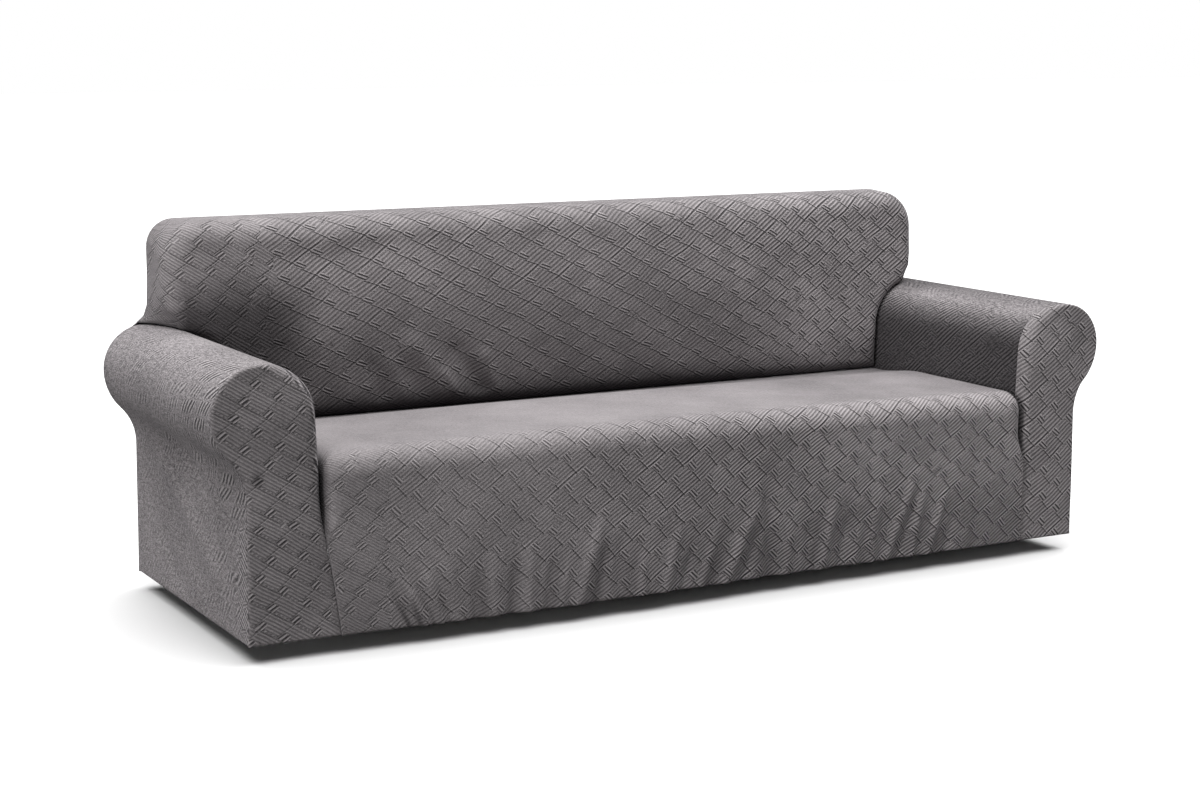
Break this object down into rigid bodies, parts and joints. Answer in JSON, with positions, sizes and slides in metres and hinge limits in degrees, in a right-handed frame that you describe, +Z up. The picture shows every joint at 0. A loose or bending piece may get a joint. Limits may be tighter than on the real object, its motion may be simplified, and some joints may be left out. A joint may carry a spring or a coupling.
{
  "type": "sofa slipcover",
  "caption": "Fitted stretch slipcover shaped as a long sofa with rolled arms: hollow, open below, with a gathered front hem.",
  "frame": {"origin": "on the inner side of the back's top, at its middle, where the sofa holds the cover up", "axes": "+X to the right seen from the front, +Y to the rear, +Z up"},
  "size_m": [2.31, 0.79, 0.826],
  "materials": {
    "cloth": "soft matt grey stretch knit with a woven basket relief"
  },
  "bodies": {
    "root": {"seat_front": "cloth", "inside_back": "cloth", "outside_back": "cloth", "arm_left": "cloth", "arm_right": "cloth", "arm_front_left": "cloth", "arm_front_right": "cloth"}
  },
  "joints": []
}
